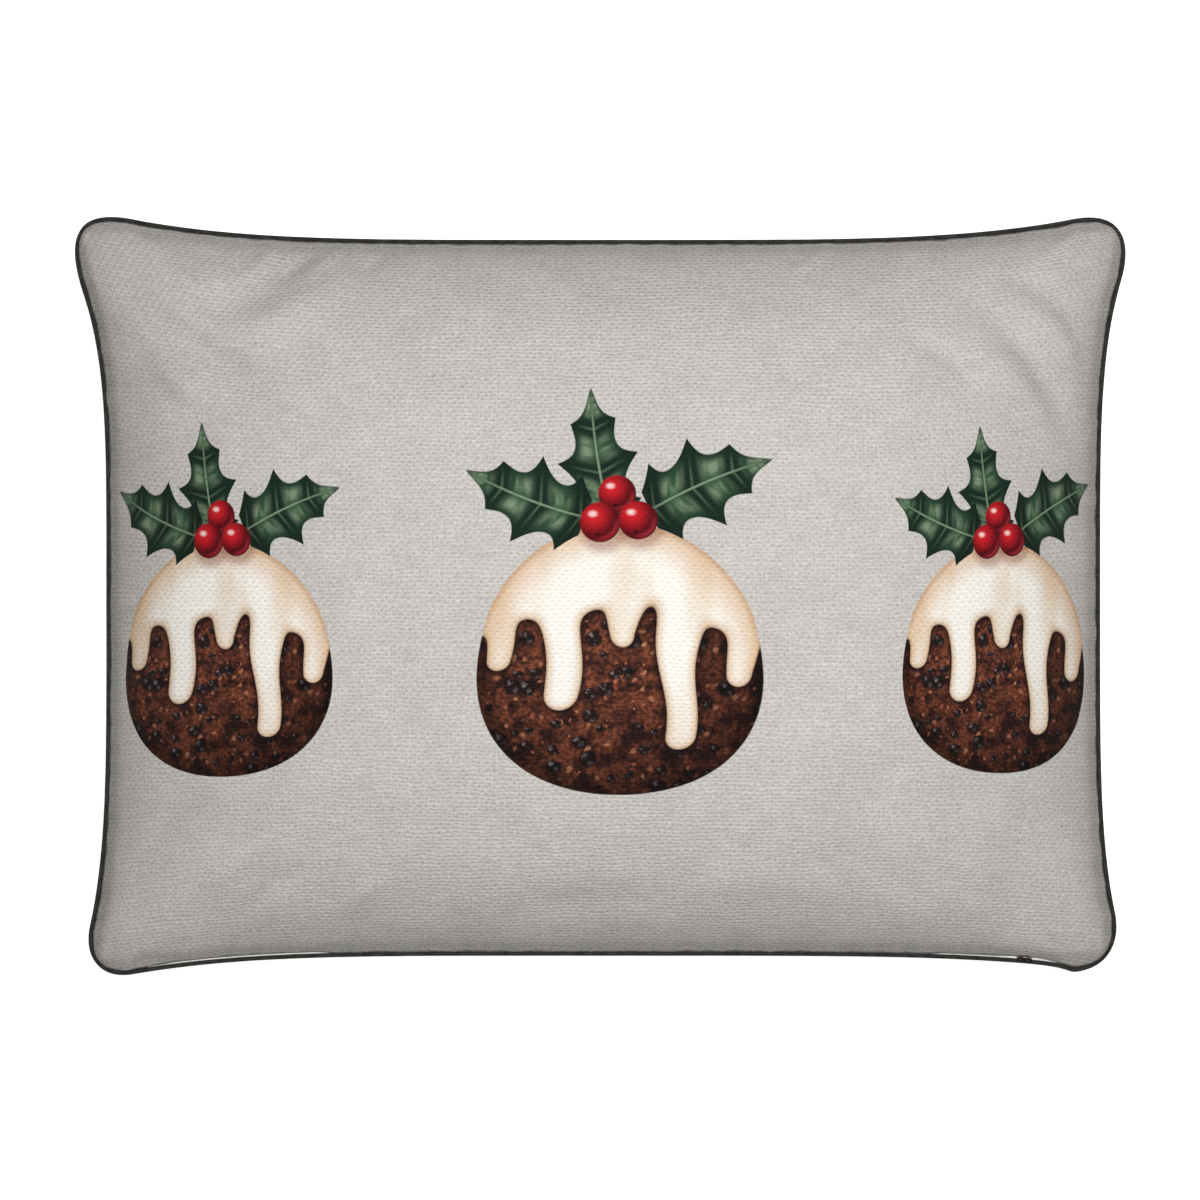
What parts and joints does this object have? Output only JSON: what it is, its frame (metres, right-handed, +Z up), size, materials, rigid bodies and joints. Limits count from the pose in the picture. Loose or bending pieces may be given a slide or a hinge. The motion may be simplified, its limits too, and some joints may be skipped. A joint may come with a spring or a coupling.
{
  "type": "christmas scatter cushion",
  "caption": "Rectangular scatter cushion with pulled-in sides, rounded flared corners, contrast piping all round and a zip in the lower seam, lying on its back with the printed front up.",
  "frame": {"origin": "on the ground, under the middle of the cushion's outline", "axes": "+X along the long side, +Y towards the top of the print, +Z up out of the printed front"},
  "size_m": [0.5002, 0.3607, 0.1415],
  "materials": {
    "cover": "warm pale grey linen-look weave, printed on the front",
    "piping": "charcoal woven bias tape round a thin cord",
    "zip_tape": "off-white woven tape",
    "zip_metal": "dark enamel"
  },
  "bodies": {
    "root": {"cover": "cover", "piping": "piping", "zip_tape": "zip_tape", "zip_slider": "zip_metal", "zip_pull": "zip_metal"}
  },
  "joints": []
}
